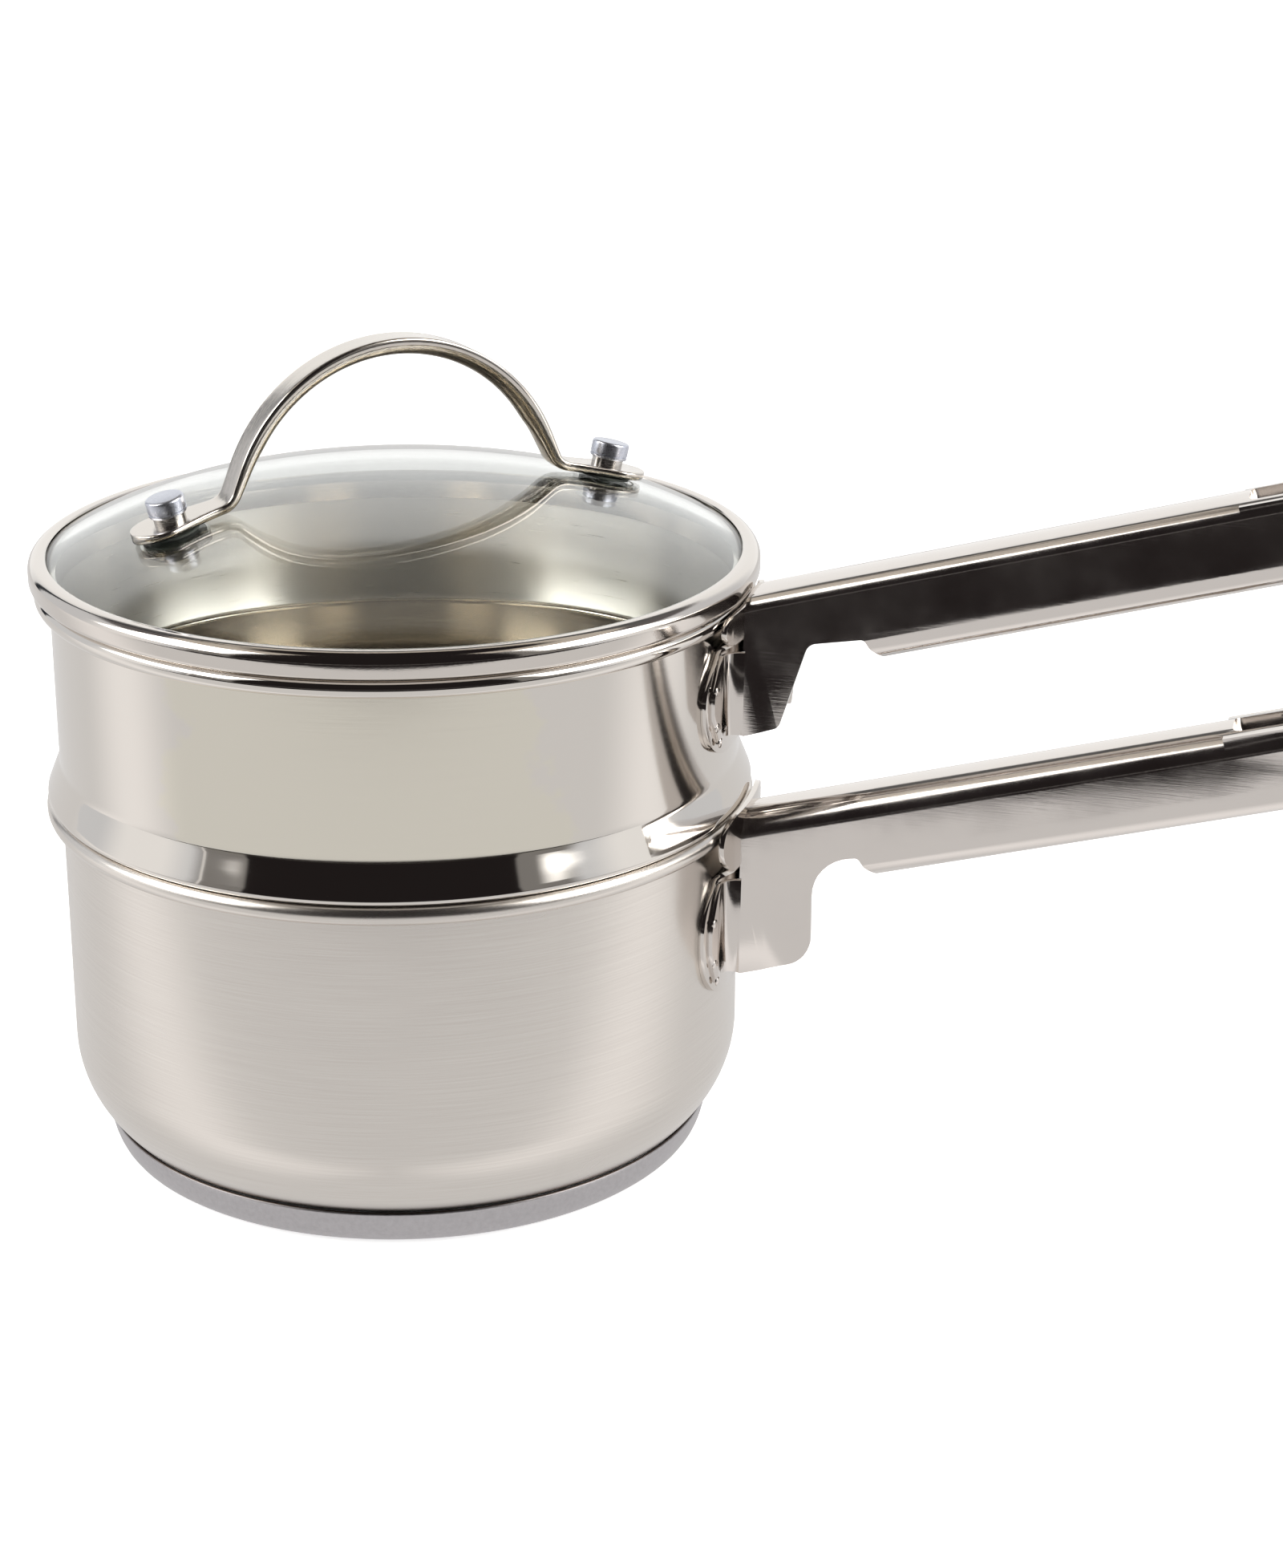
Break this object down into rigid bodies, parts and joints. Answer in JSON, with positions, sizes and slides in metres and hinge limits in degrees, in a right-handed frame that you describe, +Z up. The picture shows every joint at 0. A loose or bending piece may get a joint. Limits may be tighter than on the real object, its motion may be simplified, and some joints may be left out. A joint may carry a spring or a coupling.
{
  "type": "double boiler",
  "caption": "Stainless steel double boiler: saucepan with capsule base, stacking insert pan, long folded sheet handles and a domed glass lid with an arched strap handle.",
  "frame": {"origin": "centre of the saucepan's underside, on the surface it stands on", "axes": "+Z up along the pans' axis, +X along both pan handles, towards their tips"},
  "size_m": [0.2942, 0.1648, 0.1885],
  "materials": {
    "pan_steel": "polished stainless steel sheet",
    "insert_steel": "polished outside, horizontally brushed inside",
    "base_steel": "satin, turned in fine rings",
    "base_aluminium": "plain disc, sealed in the base",
    "handle_steel": "polished folded sheet",
    "plate_steel": "satin pressed plate",
    "lid_glass": "clear tempered glass",
    "band_steel": "polished rolled band",
    "strap_steel": "polished bar with hammered edges at its feet",
    "stud_steel": "plain",
    "cap_aluminium": "bright turned aluminium",
    "gasket_rubber": "smooth silicone rubber, grey-green",
    "washer_steel": "plain"
  },
  "bodies": {
    "saucepan": {"saucepan_shell": "pan_steel", "base_core": "base_aluminium", "base_cap": "base_steel", "saucepan_handle_plate": "plate_steel", "saucepan_handle": "handle_steel"},
    "insert": {"insert_shell": "insert_steel", "insert_handle_plate": "plate_steel", "insert_handle": "handle_steel"},
    "lid": {"lid_glass": "lid_glass", "lid_band": "band_steel", "lid_handle": "strap_steel", "stud_left": "stud_steel", "rivet_cap_left": "cap_aluminium", "gasket_left": "gasket_rubber", "inner_gasket_left": "gasket_rubber", "washer_left": "washer_steel", "stud_right": "stud_steel", "rivet_cap_right": "cap_aluminium", "gasket_right": "gasket_rubber", "inner_gasket_right": "gasket_rubber", "washer_right": "washer_steel"}
  },
  "joints": [
    {"name": "insert_lift", "type": "slide", "parent": "saucepan", "child": "insert", "axis": [0, 0, 1], "range_m": [0, 0.09]},
    {"name": "lid_lift", "type": "slide", "parent": "insert", "child": "lid", "axis": [0, 0, 1], "range_m": [0, 0.06]}
  ]
}
